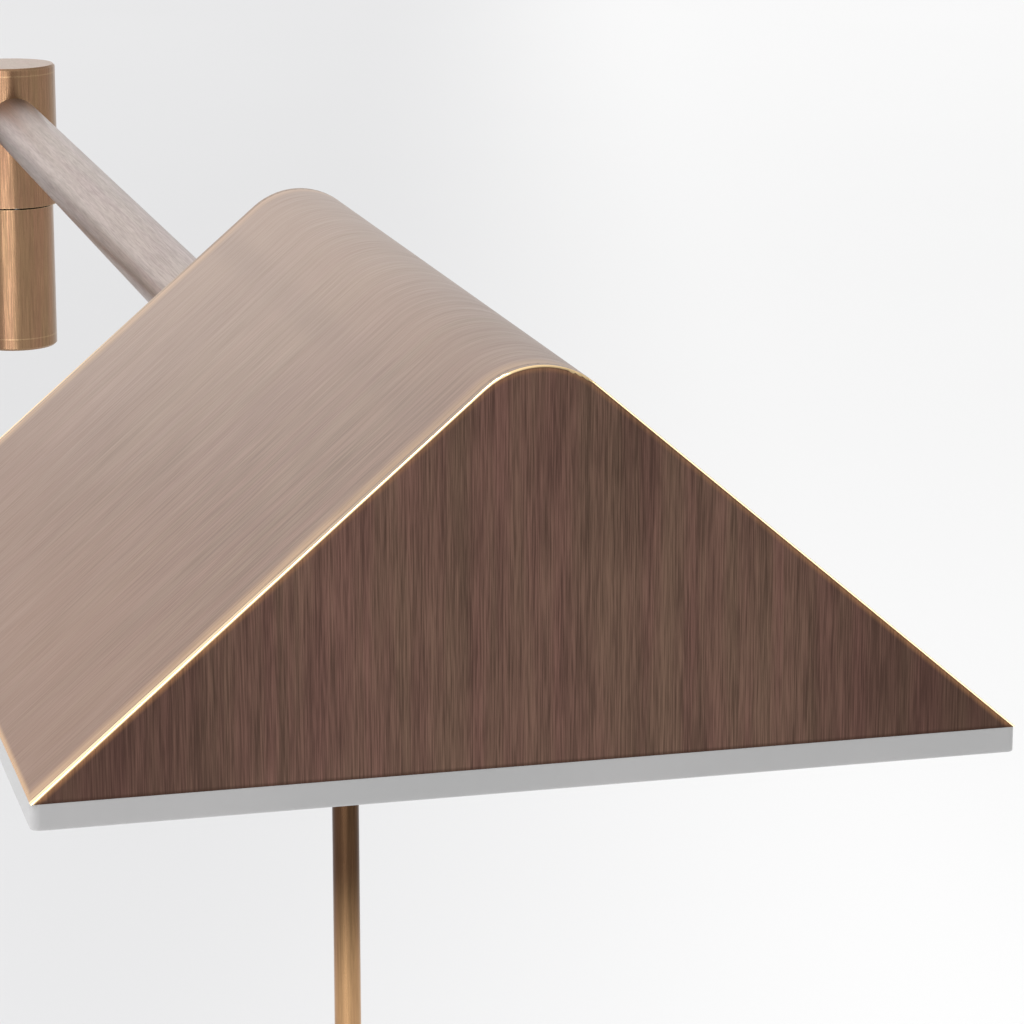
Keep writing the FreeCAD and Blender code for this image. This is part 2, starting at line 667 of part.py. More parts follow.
def build_pull_rod():
    low = ("rod_back", "0", "-rod_drop")
    node(rod("rod_shaft", "rod_radius", "rod_top + rod_drop", low), "pull_rod", "head")
    collar = rod("rod_collar", "rod_head_radius", "rod_head_height", ("rod_back", "0", "rod_top"))
    node(collar, "rod_head", "head")
    foot_at = "-rod_drop - knob_height + edge_ease"
    waist_at = f"{foot_at} + knob_foot"
    foot_spot, waist_spot = ("rod_back", "0", foot_at), ("rod_back", "0", waist_at)
    rim = cone("knob_rim", "knob_radius", "knob_radius - edge_ease", "edge_ease", foot_spot, "-z")
    foot = rod("knob_foot_disc", "knob_radius", "knob_foot", foot_spot)
    taper = cone("knob_taper", "knob_radius", "knob_top", f"-rod_drop - ({waist_at})", waist_spot)
    tip = cone("knob_tip", "knob_top", "knob_top - edge_ease", "edge_ease", low)
    seat = rod("knob_seat", "rod_radius", "knob_height", low)
    node(less("knob_cut", fused("knob_blank", [rim, foot, taper, tip]), seat), "rod_knob", "head")
    build_return_spring()


def build_return_spring():
    """A compression spring between the switch's floor and the rod's collar."""
    start = "switch_floor + switch_base + spring_wire"
    height = number(f"rod_top - spring_wire - ({start})")
    radius = number("spring_radius")
    helix = Part.makeHelix(height / number("spring_turns"), height, radius)
    section = Part.Wire(Part.Circle(V(radius, 0, 0), V(0, 1, 0), number("spring_wire")).toShape())
    obj = DOC.addObject("Part::Feature", "return_spring_coil")
    obj.Shape = Part.Wire(helix.Edges).makePipeShell([section], True, True)
    place(obj, ("rod_back", "0", start))
    node(obj, "return_spring", "head")


# The swivel between head and arm


def nipple(name, mouth, direction, inner_length):
    """A hollow turned nipple: a plug held in a tube's bore and a threaded end that stands out of it."""
    back = opposite(direction)
    thread = rod(name + "_thread", "nipple_radius", inner_length, mouth, direction)
    plug = rod(name + "_plug", "arm_bore", "nipple_plug", mouth, back)
    bore_ahead = rod(name + "_bore_ahead", "nipple_bore", inner_length, mouth, direction)
    bore_back = rod(name + "_bore_back", "nipple_bore", "nipple_plug", mouth, back)
    return less(name + "_cut", fused(name + "_blank", [thread, plug]), bore_ahead, bore_back)


def nut(name, corner_radius, bore_radius, height, at, along="z"):
    """A plain hexagon nut that seats at the point."""
    blank = hexagon(name + "_hex", corner_radius, height, at, along)
    return less(name + "_cut", blank, rod(name + "_bore", bore_radius, height, at, along))


def build_swivel():
    """The head's turning joint: the parts stand one behind another on the arm's axis, from outside inwards."""
    rear = "shade_length"
    outside = (f"{rear} + washer_gauge", "0", "arm_rise")
    flange = rod("swivel_flange_disc", "swivel_flange", "washer_gauge", (rear, "0", "arm_rise"), "x")
    neck = rod("swivel_neck_rod", "swivel_neck", "washer_gauge + end_gauge", outside, "-x")
    bore = rod("swivel_bore", "nipple_radius + turn_clearance", "washer_gauge + end_gauge", outside, "-x")
    node(less("swivel_cut", fused("swivel_blank", [flange, neck]), bore), "swivel_bush", "head")
    pins = [
        rod(f"turn_pin_{side}", "turn_pin_radius", "end_gauge + turn_pin_reach", stop_spot(side, rear), "-x")
        for side in (-1, 1)
    ]
    node(group("turn_stops", pins), "turn_stops", "head")
    washer_at = (f"{rear} - end_gauge", "0", "arm_rise")
    washer = ring("inner", "stop_disc", "nipple_radius + turn_clearance", "washer_gauge", washer_at, "-x")
    node(washer, "inner_washer", "head")
    keyed = f"{rear} - end_gauge - washer_gauge"
    disc = rod("stop_blank", "stop_disc", "stop_gauge", (keyed, "0", "arm_rise"), "-x")
    tab_at = (f"{keyed} - stop_gauge", "-stop_tab / 2", "arm_rise")
    tab = block("stop_tab_bar", ("stop_gauge", "stop_tab", "stop_reach"), tab_at)
    hole = rod("stop_hole", "nipple_radius", "stop_gauge", (keyed, "0", "arm_rise"), "-x")
    node(less("stop_cut", fused("stop_fused", [disc, tab]), hole), "stop_washer", "head")
    wave_at = (f"{keyed} - stop_gauge", "0", "arm_rise")
    wave = ring("wave", "wave_radius", "nipple_radius", "washer_gauge", wave_at, "-x")
    node(wave, "swivel_spring", "head")
    nut_at = (f"{keyed} - stop_gauge - washer_gauge", "0", "arm_rise")
    node(nut("swivel_hex", "nut_corner", "nipple_radius", "nut_height", nut_at, "-x"), "swivel_nut", "head")
    length = "end_gauge + 3 * washer_gauge + stop_gauge + nut_height + nipple_spare"
    node(nipple("arm_nipple", outside, "-x", length), "arm_nipple", "head")


# The arm and its hub


def build_arm():
    length = "hub_reach - shade_length - washer_gauge - arm_entry"
    tube = ring("arm_tube", "arm_radius", "arm_bore", length, ("-arm_entry", "0", "arm_height"), "-x")
    node(tube, "arm_tube", "hub")


def build_upper_barrel():
    bottom = "hub_split + hub_gap"
    lid_floor = "arm_height + hub_top - lid_height"
    barrel = rod("upper_blank", "hub_head", f"{lid_floor} - ({bottom})", ("0", "0", bottom))
    press = rod("upper_press", "spindle_radius", f"well_floor - ({bottom})", ("0", "0", bottom))
    well = rod("upper_well", "well_radius", f"{lid_floor} - well_floor", ("0", "0", "well_floor"))
    socket = rod("upper_socket", "arm_radius", "2 * hub_head", ("0", "0", "arm_height"), "-x")
    pin_depth = "stop_pin_length - stop_pin_drop"
    pin_hole = rod("upper_pin_hole", "stop_pin_radius", pin_depth, ("-stop_orbit", "0", bottom))
    node(less("upper_cut", barrel, press, well, socket, pin_hole), "upper_barrel", "hub")
    rim_floor = f"{lid_floor} + lid_height - edge_ease"
    lid = rod("lid_disc", "hub_head", "lid_height - edge_ease", ("0", "0", lid_floor))
    rim = cone("lid_rim", "hub_head", "hub_head - edge_ease", "edge_ease", ("0", "0", rim_floor))
    spigot = rod("lid_spigot_rod", "well_radius", "lid_spigot", ("0", "0", f"{lid_floor} - lid_spigot"))
    node(fused("lid_fused", [lid, rim, spigot]), "top_cap", "hub")
    pin_at = ("-stop_orbit", "0", f"{bottom} - stop_pin_drop")
    node(rod("stop_pin_rod", "stop_pin_radius", "stop_pin_length", pin_at), "stop_pin", "hub")


def build_pivot():
    """The hub's turning joint: the spindle hangs from the upper barrel and is held under the lower one."""
    spindle_at = ("0", "0", "spindle_bottom")
    spindle = ring("spindle", "spindle_radius", "nipple_bore", "well_floor - spindle_bottom", spindle_at)
    node(spindle, "spindle", "hub")
    flange_at = "hub_shoulder - pivot_flange_gauge"
    sleeve_length = "hub_split - hub_shoulder + pivot_flange_gauge"
    sleeve = rod("pivot_sleeve", "pivot_bush_radius", sleeve_length, ("0", "0", flange_at))
    flange = rod("pivot_flange_disc", "pivot_flange", "pivot_flange_gauge", ("0", "0", flange_at))
    bore = rod("pivot_bore", "spindle_radius + turn_clearance", sleeve_length, ("0", "0", flange_at))
    node(less("pivot_cut", fused("pivot_blank", [sleeve, flange]), bore), "pivot_bush", "hub")
    washer_bore = "spindle_radius + turn_clearance"
    washer = ring("hub_washer", "friction_radius", washer_bore, "hub_gap", ("0", "0", "hub_split"))
    node(washer, "friction_washer", "hub")
    spring_at = f"{flange_at} - spring_washer_gauge"
    spring_size = ("pivot_spring_radius", "spindle_radius", "spring_washer_gauge")
    node(ring("hub_spring", *spring_size, ("0", "0", spring_at)), "spring_washer", "hub")
    nut_at = ("0", "0", f"{spring_at} - pivot_nut_height")
    spindle_nut = nut("spindle_hex", "pivot_nut_corner", "spindle_radius", "pivot_nut_height", nut_at)
    node(spindle_nut, "spindle_nut", "hub")


def stop_groove():
    """The arc in the lower barrel's top that the stop pin runs in, from one end of the swing to the other."""
    floor = ("0", "0", "hub_split - groove_depth")
    sector = rod("groove_sector", "stop_orbit + groove_side", "2 * groove_depth", floor)
    bind(sector, Angle="swing_angle + 2 * groove_spare")
    bind(sector, **{"Placement.Rotation.Angle": "180 - groove_spare"})
    core = rod("groove_core", "stop_orbit - groove_side", "2 * groove_depth", floor)
    return less("groove", sector, core)


def build_lower_barrel():
    bottom = "arm_height - hub_drop"
    start = ("0", "0", f"{bottom} + cap_height")
    barrel = rod("lower_blank", "hub_radius", f"hub_split - ({bottom}) - cap_height", start)
    cavity = rod("lower_cavity", "hub_cavity", f"hub_shoulder - ({bottom}) - cap_height", start)
    seat_at = ("0", "0", "hub_shoulder - pivot_flange_gauge")
    bush_seat = rod("lower_bush_seat", "pivot_bush_radius", "hub_split", seat_at)
    socket = rod("lower_socket", "arm_radius", "2 * hub_radius", ("0", "0", "0"), "y")
    node(less("lower_cut", barrel, cavity, bush_seat, socket, stop_groove()), "lower_barrel", "hub")
    rim_at = ("0", "0", f"{bottom} + edge_ease")
    disc = rod("cap_disc", "hub_radius", "cap_height - edge_ease", rim_at)
    rim = cone("cap_rim", "hub_radius", "hub_radius - edge_ease", "edge_ease", rim_at, "-z")
    spigot = rod("cap_spigot_rod", "hub_cavity", "cap_spigot", start)
    node(fused("cap_fused", [disc, rim, spigot]), "bottom_cap", "hub")


# The wall bracket


def pair(name, radius, length, offset, start, height="0", along="-y"):
    """Two rods on the plate's sides, the same distance to its left and right."""
    return [
        rod(f"{name}_{side}", radius, length, (f"{side} * {offset}", start, height), along)
        for side in (-1, 1)
    ]


def build_canopy():
    """A spun dish with a rounded front edge."""
    body = new_body("wall_canopy")
    sketch = sketch_on(body, "canopy_profile", "XY_Plane")
    outline(
        sketch,
        [
            ("0", "-canopy_depth"),
            ("canopy_radius", "-canopy_depth"),
            ("canopy_radius", "0"),
            ("canopy_radius - canopy_gauge", "0"),
            ("canopy_radius - canopy_gauge", "-canopy_depth + canopy_gauge"),
            ("0", "-canopy_depth + canopy_gauge"),
        ],
    )
    revolve(body, sketch)
    DOC.recompute()
    dish_round(body, "outer", "0")
    dish_round(body, "inner", "canopy_gauge")
    holes = pair("canopy_hole", "stud_radius + stud_play", "canopy_depth", "stud_offset", "0")
    centre = rod("canopy_centre", "nipple_radius", "canopy_depth", ("0", "0", "0"), "-y")
    node(less("canopy_cut", body, centre, *holes), "wall_canopy", "wall")


def dish_round(body, name, inset):
    """Rounds the front edge of the canopy's skin that lies this far inside its outer one."""
    radius, height = number(f"canopy_radius - {inset}"), number(f"{inset} - canopy_depth")
    names = [
        f"Edge{i}"
        for i, edge in enumerate(body.Shape.Edges, start=1)
        if abs(getattr(edge.Curve, "Radius", 0) - radius) < NEAR
        and abs(edge.Vertexes[0].Y - height) < NEAR
    ]
    round_edges(body, f"canopy_{name}_round", names, f"canopy_round - {inset}")


def build_mounting_plate():
    body = new_body("mounting_plate")
    sketch = sketch_on(body, "plate_outline", "XZ_Plane")
    circle(sketch, "0", "0", "plate_radius")
    for side in (-1, 1):
        circle(sketch, f"{side} * wall_screw_offset", "0", "wall_screw_hole")
        circle(sketch, f"{side} * stud_offset", "0", "stud_radius")
        circle(sketch, f"{side} * driver_screw_offset", "-driver_drop", "screw_radius")
    circle(sketch, "-inlet_across", "inlet_up", "inlet_hole")
    circle(sketch, "inlet_across", "inlet_up", "stud_radius")
    circle(sketch, "0", "terminal_rise", "screw_radius")
    pad(body, sketch, "plate_gauge")
    node(body, "mounting_plate", "wall")
    inlet = ("-inlet_across", "0", "inlet_up")
    sleeve_length = "plate_gauge + inlet_flange_gauge"
    sleeve = rod("grommet_sleeve", "inlet_hole", sleeve_length, inlet, "-y")
    flange_at = (inlet[0], "-plate_gauge", inlet[2])
    flange = rod("grommet_flange", "inlet_flange", "inlet_flange_gauge", flange_at, "-y")
    bore = rod("grommet_bore", "inlet_bore", sleeve_length, inlet, "-y")
    node(less("grommet_cut", fused("grommet_blank", [sleeve, flange]), bore), "wire_grommet", "wall")
    studs = pair("stud", "stud_radius", "canopy_depth + stud_spare", "stud_offset", "0")
    node(group("canopy_studs", studs), "canopy_studs", "wall")
    node(group("cap_nuts", [cap_nut(side) for side in (-1, 1)]), "cap_nuts", "wall")


def cap_nut(side):
    """A domed nut on a canopy stud."""
    across = f"{side} * stud_offset"
    seat = (across, "-canopy_depth", "0")
    neck = rod(f"cap_nut_body_{side}", "cap_nut_radius", "cap_nut_height", seat, "-y")
    dome = DOC.addObject("Part::Sphere", f"cap_nut_dome_{side}")
    place(dome, (across, "-canopy_depth - cap_nut_height", "0"))
    bind(dome, Radius="cap_nut_radius")
    behind = rod(f"cap_nut_behind_{side}", "2 * cap_nut_radius", "cap_nut_radius", seat, "y")
    bore = rod(f"cap_nut_bore_{side}", "stud_radius", "stud_spare", seat, "-y")
    return less(f"cap_nut_{side}", fused(f"cap_nut_fused_{side}", [neck, dome]), behind, bore)


def build_electrics():
    size = ("driver_length", "driver_depth", "driver_height")
    corner = ("-driver_length / 2", "-plate_gauge - driver_depth", "-driver_drop - driver_height / 2")
    driver = block("driver_blank", size, corner)
    across, front = "driver_screw_offset", "-plate_gauge"
    taps = pair("driver_tap", "screw_radius", "driver_thread", across, front, "-driver_drop")
    node(less("driver_cut", driver, *taps), "led_driver", "wall")
    length = "plate_gauge + driver_thread"
    screws = pair("driver_screw", "screw_radius", length, across, "0", "-driver_drop")
    node(group("driver_screws", screws), "driver_screws", "wall")
    size = ("terminal_length", "terminal_depth", "terminal_height")
    front = "-plate_gauge - terminal_depth"
    bottom = "terminal_rise - terminal_height / 2"
    base = block("terminal_blank", size, ("-terminal_length / 2", front, bottom))
    tap = rod("terminal_tap", "screw_radius", "terminal_depth", ("0", "-plate_gauge", "terminal_rise"), "-y")
    across, height = "terminal_pitch", "terminal_rise"
    wells = pair("terminal_well", "terminal_bore", "terminal_sink", across, front, height, "y")
    node(less("terminal_cut", base, tap, *wells), "terminal_block", "wall")
    screw_at = ("0", front, "terminal_rise")
    screw = pan_screw("terminal_screw_part", "screw_radius", "terminal_depth + plate_gauge", screw_at, "y")
    node(screw, "terminal_screw", "wall")
    earth_at = ("inlet_across", "-plate_gauge", "inlet_up")
    node(pan_screw("earth_screw_part", "stud_radius", "plate_gauge", earth_at, "y"), "earth_screw", "wall")
    top = "driver_height / 2 - driver_drop"
    wire_at = ("wire_across", "-plate_gauge - terminal_depth / 2", top)
    wire = rod("driver_wire", "wire_radius", f"{bottom} - ({top})", wire_at)
    node(wire, "driver_lead", "wall")


def build_stub():
    seat = ("0", "-canopy_depth", "0")
    mouth = ("0", "-canopy_depth - collar_seat", "0")
    rim_at = ("0", "-canopy_depth - collar_height + edge_ease", "0")
    disc = rod("collar_disc", "collar_radius", "collar_height - edge_ease", seat, "-y")
    rim = cone("collar_rim", "collar_radius", "collar_radius - edge_ease", "edge_ease", rim_at, "-y")
    tube_seat = rod("collar_tube_seat", "arm_radius", "collar_height", mouth, "-y")
    thread = rod("collar_thread", "nipple_radius", "collar_height", seat, "-y")
    node(less("collar_cut", fused("collar_blank", [disc, rim]), tube_seat, thread), "stub_collar", "wall")
    length = "stub_reach - stub_entry - canopy_depth - collar_seat"
    node(ring("stub_tube", "arm_radius", "arm_bore", length, mouth, "-y"), "stub_tube", "wall")
    length = "collar_seat + canopy_gauge + nut_height + nipple_spare"
    node(nipple("stub_nipple", mouth, "y", length), "stub_nipple", "wall")
    nut_at = ("0", "canopy_gauge - canopy_depth", "0")
    node(nut("stub_hex", "nut_corner", "nipple_radius", "nut_height", nut_at, "y"), "stub_nut", "wall")


# The flexible lead, in the lengths that the pivots divide it into


def build_leads():
    radius = number("lead_radius")
    joint = number("lead_bend")
    hub_y = -number("stub_reach")
    arm_z = number("arm_height")
    drop_y = -number("lead_offset")
    top_z = number("terminal_rise - terminal_height / 2")
    stub_points = [V(0, drop_y, top_z), V(0, drop_y, 0), V(0, hub_y, 0), V(0, hub_y, joint)]
    node(lead("stub_lead", radius, stub_points, joint), "stub_lead", "wall")
    nose = "shade_length - end_gauge - 2 * washer_gauge - stop_gauge - nut_height - nipple_spare"
    shade_x = -number("hub_reach")
    exit_x = shade_x + number(nose)
    arm_points = [V(0, hub_y, joint), V(0, hub_y, arm_z), V(exit_x, hub_y, arm_z)]
    node(lead("arm_lead", radius, arm_points, number("arm_lead_bend")), "arm_lead", "wall")
    back = "rod_back + switch_side / 2"
    run = rod("head_lead_run", "lead_radius", f"{nose} - ({back})", (back, "0", "arm_rise"), "x")
    node(run, "head_lead", "head")
    base_z = number("arm_height - arm_rise")
    face_x = shade_x + number("rod_back - switch_side / 2")
    pad_x = shade_x + number("board_start + board_length - led_wire_inset")
    wire_y = hub_y + number("led_wire_across")
    wire_z = base_z + number("led_wire_height")
    board_z = base_z + number("tray_floor - board_gauge")
    led_points = [V(face_x, wire_y, wire_z), V(pad_x, wire_y, wire_z), V(pad_x, wire_y, board_z)]
    run = lead("led_lead", number("led_wire_radius"), led_points, number("led_wire_bend"))
    node(run, "led_lead", "wall")


def fill_sheet():
    for row, (alias, value, note) in enumerate(SIZES, start=1):
        SHEET.set(f"A{row}", note)
        SHEET.set(f"B{row}", str(value))
        SHEET.setAlias(f"B{row}", alias)
    DOC.recompute()


def check_shapes():
    for obj in DOC.Objects:
        if "Invalid" in obj.State or "Error" in obj.State:
            raise RuntimeError(f"{obj.Label} failed: {obj.State}")
    for name, obj in NODES.items():
        if obj.Shape.isNull() or not obj.Shape.isValid():
            raise RuntimeError(f"{name} has no valid shape")


def write_parts():
    os.makedirs("parts", exist_ok=True)
    for name, obj in NODES.items():
        obj.Shape.exportStep(f"parts/{name}.step")
        box = obj.Shape.BoundBox
        print(
            f"{name:18s} solids {len(obj.Shape.Solids):2d}  volume {obj.Shape.Volume:9.1f}  "
            f"x {box.XMin:.1f}..{box.XMax:.1f}  y {box.YMin:.1f}..{box.YMax:.1f}  "
            f"z {box.ZMin:.1f}..{box.ZMax:.1f}"
        )


def main():
    fill_sheet()
    build_shade()
    build_diffuser()
    build_fixings()
    build_light_source()
    build_switch()
    build_pull_rod()
    build_swivel()
    build_arm()
    build_upper_barrel()
    build_pivot()
    build_lower_barrel()
    build_canopy()
    build_mounting_plate()
    build_electrics()
    build_stub()
    build_leads()
    DOC.recompute()
    check_shapes()
    write_parts()


main()
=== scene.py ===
import math

import bpy
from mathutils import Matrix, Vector


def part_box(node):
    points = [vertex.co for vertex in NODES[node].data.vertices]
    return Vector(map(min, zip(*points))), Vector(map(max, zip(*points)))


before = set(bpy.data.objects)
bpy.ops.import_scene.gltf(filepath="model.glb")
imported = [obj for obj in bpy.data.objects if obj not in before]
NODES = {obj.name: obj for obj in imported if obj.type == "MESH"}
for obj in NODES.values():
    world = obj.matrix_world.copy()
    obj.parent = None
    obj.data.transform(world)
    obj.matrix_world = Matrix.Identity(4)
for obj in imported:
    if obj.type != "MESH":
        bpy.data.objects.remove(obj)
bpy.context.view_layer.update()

MM = 0.001

# ---------------------------------------------------------------- places, read from the frame

SHADE_LOW, SHADE_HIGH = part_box("roof_shell")
SHADE_WIDTH = SHADE_HIGH.y - SHADE_LOW.y
SHADE_HALF = SHADE_WIDTH / 2
SHADE_MID = (SHADE_LOW.y + SHADE_HIGH.y) / 2
SHADE_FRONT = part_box("front_end_plate")[0].x
SHADE_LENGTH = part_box("rear_end_plate")[1].x - SHADE_FRONT
END_GAUGE = SHADE_LOW.x - SHADE_FRONT
FRONT_BASE = Vector((SHADE_FRONT, SHADE_MID, SHADE_LOW.z))
SLOPE = math.radians(40.43)         # of the roof's two sides
FOLD_RADIUS = 11.15 * MM            # outside the fold at the ridge
FOLD_LINE = 13 * MM                 # from the ridge to the faint dark line on either side of it, painted shade where the fold begins


# ---------------------------------------------------------------- camera

CAMERA_BACK = 3.3744        # in shade widths: in front of the shade's front plate
CAMERA_ASIDE = 0.9203       # towards the wall
CAMERA_UP = 1.1052          # above the shade's base
CAMERA_YAW = math.radians(14.808)
CAMERA_PITCH = math.radians(13.665)
SENSOR = 36.0
LENS = 131.27


def make_camera():
    data = bpy.data.cameras.new("camera")
    data.sensor_width = SENSOR
    data.lens = LENS
    data.clip_start = 0.01
    data.clip_end = 100.0
    camera = bpy.data.objects.new("camera", data)
    bpy.context.scene.collection.objects.link(camera)
    camera.location = FRONT_BASE + SHADE_WIDTH * Vector((-CAMERA_BACK, CAMERA_ASIDE, CAMERA_UP))
    ahead = Vector(
        (
            math.cos(CAMERA_YAW) * math.cos(CAMERA_PITCH),
            -math.sin(CAMERA_YAW) * math.cos(CAMERA_PITCH),
            -math.sin(CAMERA_PITCH),
        )
    )
    camera.rotation_mode = "QUATERNION"
    camera.rotation_quaternion = ahead.to_track_quat("-Z", "Y")
    bpy.context.scene.camera = camera


# ---------------------------------------------------------------- material graphs


def linear(red, green, blue):
    """A colour given in 0 to 255 display values, as Blender's linear values."""
    return tuple(((c / 255 + 0.055) / 1.055) ** 2.4 for c in (red, green, blue)) + (1.0,)


class Graph:
    """A material's node tree, with one short method for each kind of node used here."""

    def __init__(self, name):
        self.material = bpy.data.materials.new(name)
        self.material.use_nodes = True
        self.tree = self.material.node_tree
        self.tree.nodes.clear()
        self.shader = self.tree.nodes.new("ShaderNodeBsdfPrincipled")
        output = self.tree.nodes.new("ShaderNodeOutputMaterial")
        self.tree.links.new(self.shader.outputs[0], output.inputs[0])
        texture = self.tree.nodes.new("ShaderNodeTexCoord")
        self.point = texture.outputs["Object"]
        self.normal = texture.outputs["Normal"]

    def put(self, socket, value):
        if isinstance(value, bpy.types.NodeSocket):
            self.tree.links.new(value, socket)
        elif value is not None:
            socket.default_value = value

    def set(self, **values):
        for name, value in values.items():
            self.put(self.shader.inputs[name.replace("_", " ")], value)

    def math(self, operation, a, b=None):
        made = self.tree.nodes.new("ShaderNodeMath")
        made.operation = operation
        self.put(made.inputs[0], a)
        self.put(made.inputs[1], b)
        return made.outputs[0]

    def times(self, a, b):
        return self.math("MULTIPLY", a, b)

    def plus(self, a, b):
        return self.math("ADD", a, b)

    def minus(self, a, b):
        return self.math("SUBTRACT", a, b)

    def larger(self, a, b):
        return self.math("MAXIMUM", a, b)

    def size(self, value):
        return self.math("ABSOLUTE", value)

    def blend(self, *parts):
        """The weighted sum of pairs of a weight and a value."""
        total = self.times(parts[0][1], parts[0][0])
        for weight, value in parts[1:]:
            total = self.plus(total, self.times(value, weight))
        return total

    def axes(self, vector=None):
        made = self.tree.nodes.new("ShaderNodeSeparateXYZ")
        self.put(made.inputs[0], vector or self.point)
        return made.outputs

    def vector(self, x, y, z):
        made = self.tree.nodes.new("ShaderNodeCombineXYZ")
        for socket, value in zip(made.inputs, (x, y, z)):
            self.put(socket, value)
        return made.outputs[0]

    def scaled(self, scale, vector=None):
        made = self.tree.nodes.new("ShaderNodeMapping")
        self.put(made.inputs["Vector"], vector or self.point)
        made.inputs["Scale"].default_value = scale
        return made.outputs[0]

    def noise(self, vector, scale=1.0, detail=2.0, roughness=0.5):
        made = self.tree.nodes.new("ShaderNodeTexNoise")
        self.put(made.inputs["Vector"], vector)
        made.inputs["Scale"].default_value = scale
        made.inputs["Detail"].default_value = detail
        made.inputs["Roughness"].default_value = roughness
        return made.outputs[0]

    def span(self, value, low, high, to_low=0.0, to_high=1.0):
        made = self.tree.nodes.new("ShaderNodeMapRange")
        made.interpolation_type = "SMOOTHSTEP"
        self.put(made.inputs[0], value)
        for index, number in enumerate((low, high, to_low, to_high), start=1):
            made.inputs[index].default_value = number
        return made.outputs[0]

    def mix(self, share, a, b):
        made = self.tree.nodes.new("ShaderNodeMix")
        made.data_type = "RGBA"
        self.put(made.inputs[0], share)
        self.put(made.inputs[6], a)
        self.put(made.inputs[7], b)
        return made.outputs[2]

    def bump(self, height, strength, distance):
        made = self.tree.nodes.new("ShaderNodeBump")
        made.inputs["Strength"].default_value = strength
        made.inputs["Distance"].default_value = distance
        self.put(made.inputs["Height"], height)
        return made.outputs[0]

    def edges(self, radius):
        """Near 1 within this distance of a sharp edge, 0 elsewhere."""
        bevel = self.tree.nodes.new("ShaderNodeBevel")
        bevel.samples = 6
        bevel.inputs["Radius"].default_value = radius
        plain = self.tree.nodes.new("ShaderNodeNewGeometry").outputs["Normal"]
        dot = self.tree.nodes.new("ShaderNodeVectorMath")
        dot.operation = "DOT_PRODUCT"
        self.put(dot.inputs[0], bevel.outputs[0])
        self.put(dot.inputs[1], plain)
        return self.span(dot.outputs["Value"], 0.995, 0.86)


# ---------------------------------------------------------------- brushed brass

ACROSS = 4800.0    # strokes per metre across the grain, for the finest strokes
ALONG = 125.0      # the same along the grain
CONTRAST = 0.17    # of the noise about its middle, 0.5: the smaller, the stronger the strokes
BRUSH_DEPTH = 0.015 * MM
GRAINS = {
    "slope": (ACROSS, ALONG, ALONG),
    "upright": (ACROSS, ACROSS, ALONG),
    "along_x": (ALONG, ACROSS, ACROSS),
    "along_y": (ACROSS, ALONG, ACROSS),
}


def grain_field(graph, grain):
    """Coordinates in which brush strokes are even noise. grain names the way that the strokes run."""
    if grain in GRAINS:
        return graph.scaled(GRAINS[grain])
    x, y, z = graph.axes()
    radius = graph.math("SQRT", graph.plus(graph.times(x, x), graph.times(z, z)))
    return graph.scaled((ACROSS, ACROSS, ALONG), graph.vector(radius, y, 0.0))


class Patina:
    """The two warm browns that the patina drifts between, each as a dark and a light tone."""

    def __init__(self, red, green, spread):
        self.tones = [
            [linear(*(channel * share for channel in tone)) for share in (1 - spread, 1 + spread)]
            for tone in (red, green)
        ]


def brushed_colour(graph, grain, patina):
    """The patina's colour, the height of its brush strokes, and the slow noise over them."""
    field = grain_field(graph, grain)
    fine = graph.noise(field, 1.0, 2.0, 0.6)
    bundle = graph.noise(graph.scaled((0.36, 0.36, 0.36), field), 1.0, 2.0, 0.5)
    streak = graph.noise(graph.scaled((0.08, 0.08, 0.2), field), 1.0, 1.0, 0.5)
    cloud = graph.noise(graph.point, 34.0, 3.0, 0.55)
    tint = graph.noise(graph.scaled((0.07, 0.07, 0.16), field), 1.0, 2.0, 0.5)
    stroke = graph.blend((0.62, fine), (0.38, bundle))
    share = graph.blend((0.5, fine), (0.22, bundle), (0.12, streak), (0.16, cloud))
    share = graph.span(share, 0.5 - CONTRAST, 0.5 + CONTRAST)
    hue = graph.span(graph.blend((0.75, tint), (0.25, cloud)), 0.3, 0.7)
    tones = [graph.mix(share, dark, light) for dark, light in patina.tones]
    return graph.mix(hue, *tones), stroke, cloud


def finish_brass(graph, colour, stroke, gold, worn, roughness, polish=0.14):
    """Joins patina and bare metal. gold is 1 where the patina is worn away, and on the roof and end
    plates also where a highlight is painted.
    """
    graph.set(
        Base_Color=graph.mix(gold, colour, worn),
        Metallic=1.0,
        Roughness=graph.minus(
            graph.span(stroke, 0.3, 0.7, roughness + 0.05, roughness - 0.05), graph.times(gold, polish)
        ),
        Normal=graph.bump(stroke, 0.3, BRUSH_DEPTH),
    )
    return graph.material


GOLD = linear(255, 222, 170)        # bare brass where the patina is worn away
ROD_DARK_FROM = -50 * MM            # heights from the shade's base: dark above this, painted shade under the shade
ROD_BRIGHT_FROM = -79 * MM          # and bright below this, painted light


def brushed_brass(name, grain, patina, roughness=0.34, edge=0.5 * MM, wear=0.9):
    """Brushed brass with a patina, worn to bright metal along its edges."""
    graph = Graph(name)
    colour, stroke, cloud = brushed_colour(graph, grain, patina)
    gold = graph.times(graph.edges(edge), graph.span(cloud, 0.3, 0.6, 0.5 * wear, wear))
    return finish_brass(graph, colour, stroke, gold, GOLD, roughness)


def head_place(graph):
    """Distances on the shade: behind its front, from its centre line, and above its base."""
    x, y, z = graph.axes()
    return (
        graph.minus(x, SHADE_FRONT),
        graph.minus(y, SHADE_MID),
        graph.minus(z, SHADE_LOW.z),
    )


